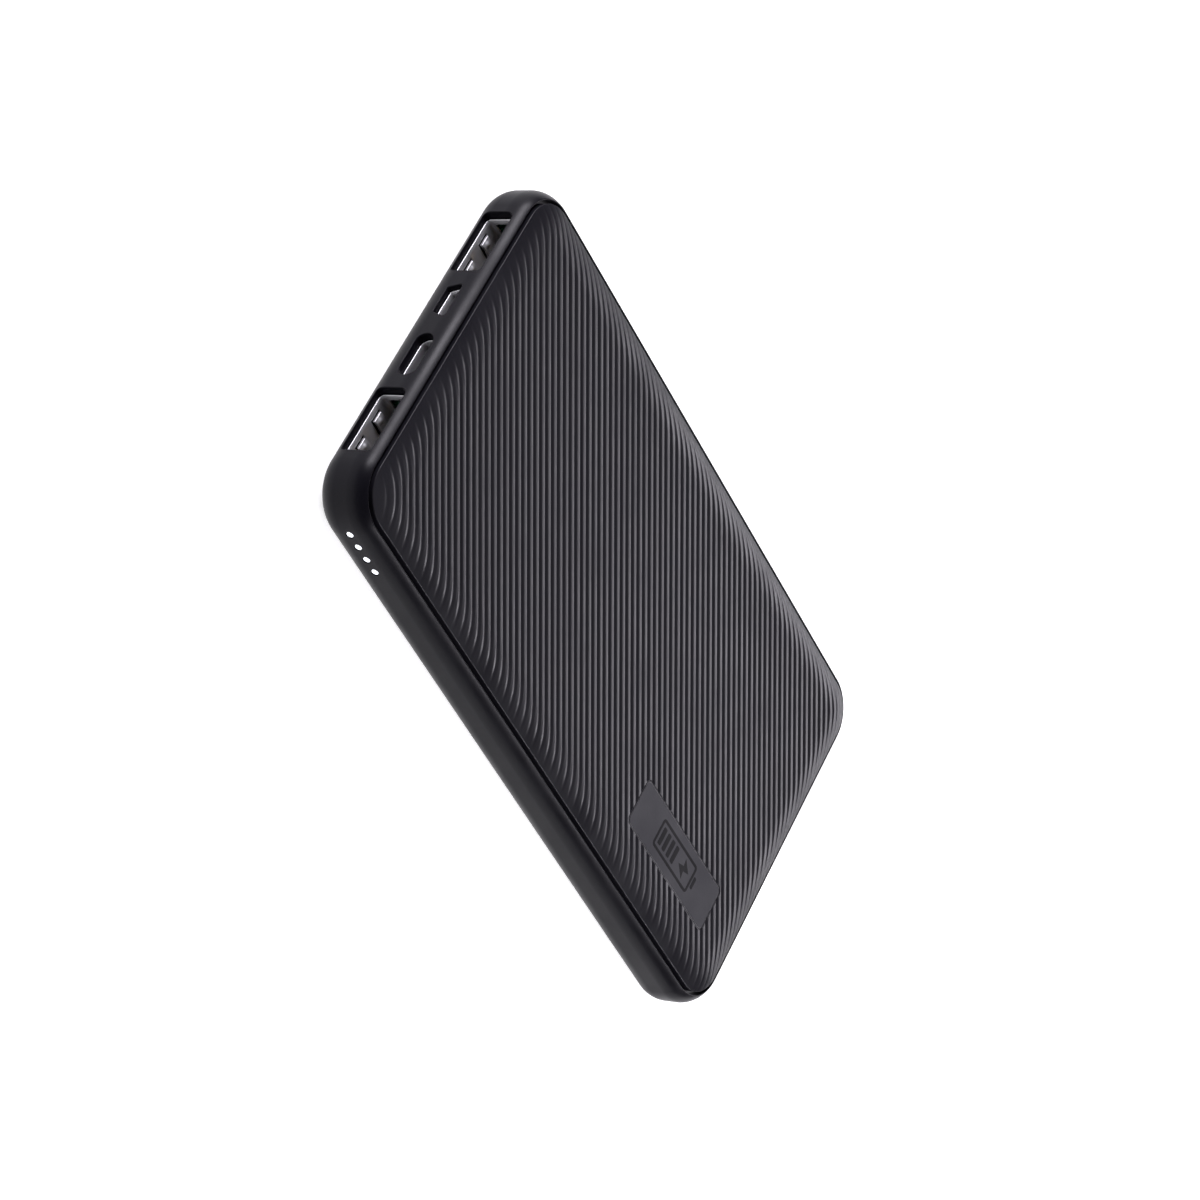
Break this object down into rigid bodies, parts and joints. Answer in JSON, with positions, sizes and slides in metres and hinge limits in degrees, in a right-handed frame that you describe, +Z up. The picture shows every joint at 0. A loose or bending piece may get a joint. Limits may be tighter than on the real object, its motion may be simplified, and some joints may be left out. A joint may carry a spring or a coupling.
{
  "type": "power bank",
  "caption": "Slim rectangular portable battery with rounded sides, diagonally ribbed cover, charging ports at one end and a row of lights on one side.",
  "frame": {"origin": "middle of the underside, where the flat of the rear cover rests", "axes": "+Z up through the ribbed front cover, -Y out of the charging ports, +X out of the side with the charge lights"},
  "size_m": [0.075, 0.14, 0.0127],
  "materials": {
    "frame_plastic": "smooth satin, moulded",
    "front_cover_plastic": "fine matt with diagonal moulded ribs",
    "rear_cover_plastic": "fine matt",
    "button_plastic": "smooth satin",
    "port_steel": "stamped and tin plated",
    "port_plastic": "moulded",
    "contact_gold": "gold plated",
    "light_guide_plastic": "clear, lit white",
    "led_plastic": "moulded",
    "circuit_board": "solder mask",
    "chip_plastic": "moulded",
    "capacitor_ceramic": "fired ceramic",
    "screw_steel": "zinc plated",
    "switch_steel": "stamped",
    "cell_foil": "laminated foil pouch",
    "tab_nickel": "nickel strip",
    "yellow_tape": "polyimide tape",
    "foam": "closed-cell foam",
    "red_insulation": "silicone sleeve",
    "black_insulation": "silicone sleeve"
  },
  "bodies": {
    "housing": {"middle_frame": "frame_plastic", "front_cover": "front_cover_plastic", "rear_cover": "rear_cover_plastic", "light_guide": "light_guide_plastic", "main_board": "circuit_board", "charge_controller": "chip_plastic", "power_transistor_1": "chip_plastic", "power_transistor_2": "chip_plastic", "power_inductor": "chip_plastic", "capacitor_1": "capacitor_ceramic", "capacitor_2": "capacitor_ceramic", "capacitor_3": "capacitor_ceramic", "capacitor_4": "capacitor_ceramic", "board_screw_1": "screw_steel", "board_screw_2": "screw_steel", "board_screw_3": "screw_steel", "board_screw_4": "screw_steel", "charge_led_1": "led_plastic", "charge_led_2": "led_plastic", "charge_led_3": "led_plastic", "charge_led_4": "led_plastic", "usb_a_port_1_shell": "port_steel", "usb_a_port_1_tongue": "port_plastic", "usb_a_port_1_contact_1": "contact_gold", "usb_a_port_1_contact_2": "contact_gold", "usb_a_port_1_contact_3": "contact_gold", "usb_a_port_1_contact_4": "contact_gold", "usb_a_port_2_shell": "port_steel", "usb_a_port_2_tongue": "port_plastic", "usb_a_port_2_contact_1": "contact_gold", "usb_a_port_2_contact_2": "contact_gold", "usb_a_port_2_contact_3": "contact_gold", "usb_a_port_2_contact_4": "contact_gold", "usb_c_port_shell": "port_steel", "usb_c_port_tongue": "port_plastic", "micro_usb_port_shell": "port_steel", "micro_usb_port_tongue": "port_plastic", "switch_base": "chip_plastic", "switch_dome": "switch_steel", "switch_cover": "switch_steel", "front_cell": "cell_foil", "front_cell_tab_positive": "tab_nickel", "front_cell_tab_negative": "tab_nickel", "rear_cell": "cell_foil", "rear_cell_tab_positive": "tab_nickel", "rear_cell_tab_negative": "tab_nickel", "cell_tape": "yellow_tape", "protection_board": "circuit_board", "battery_lead_positive": "red_insulation", "battery_lead_negative": "black_insulation", "end_foam_pad": "foam"},
    "button": {"power_button": "button_plastic"},
    "switch_stem": {"switch_stem": "chip_plastic"}
  },
  "joints": [
    {"name": "button_press", "type": "slide", "parent": "housing", "child": "button", "axis": [1, 0, 0], "range_m": [0, 0.0004], "stiffness_N_per_m": 500, "springref_m": -0.002},
    {"name": "switch_stem_travel", "type": "slide", "parent": "housing", "child": "switch_stem", "axis": [1, 0, 0], "range_m": [0, 0.00025]}
  ],
  "couplings": [
    {"joint": "switch_stem_travel", "follows": "button_press", "ratio": 0.625}
  ]
}
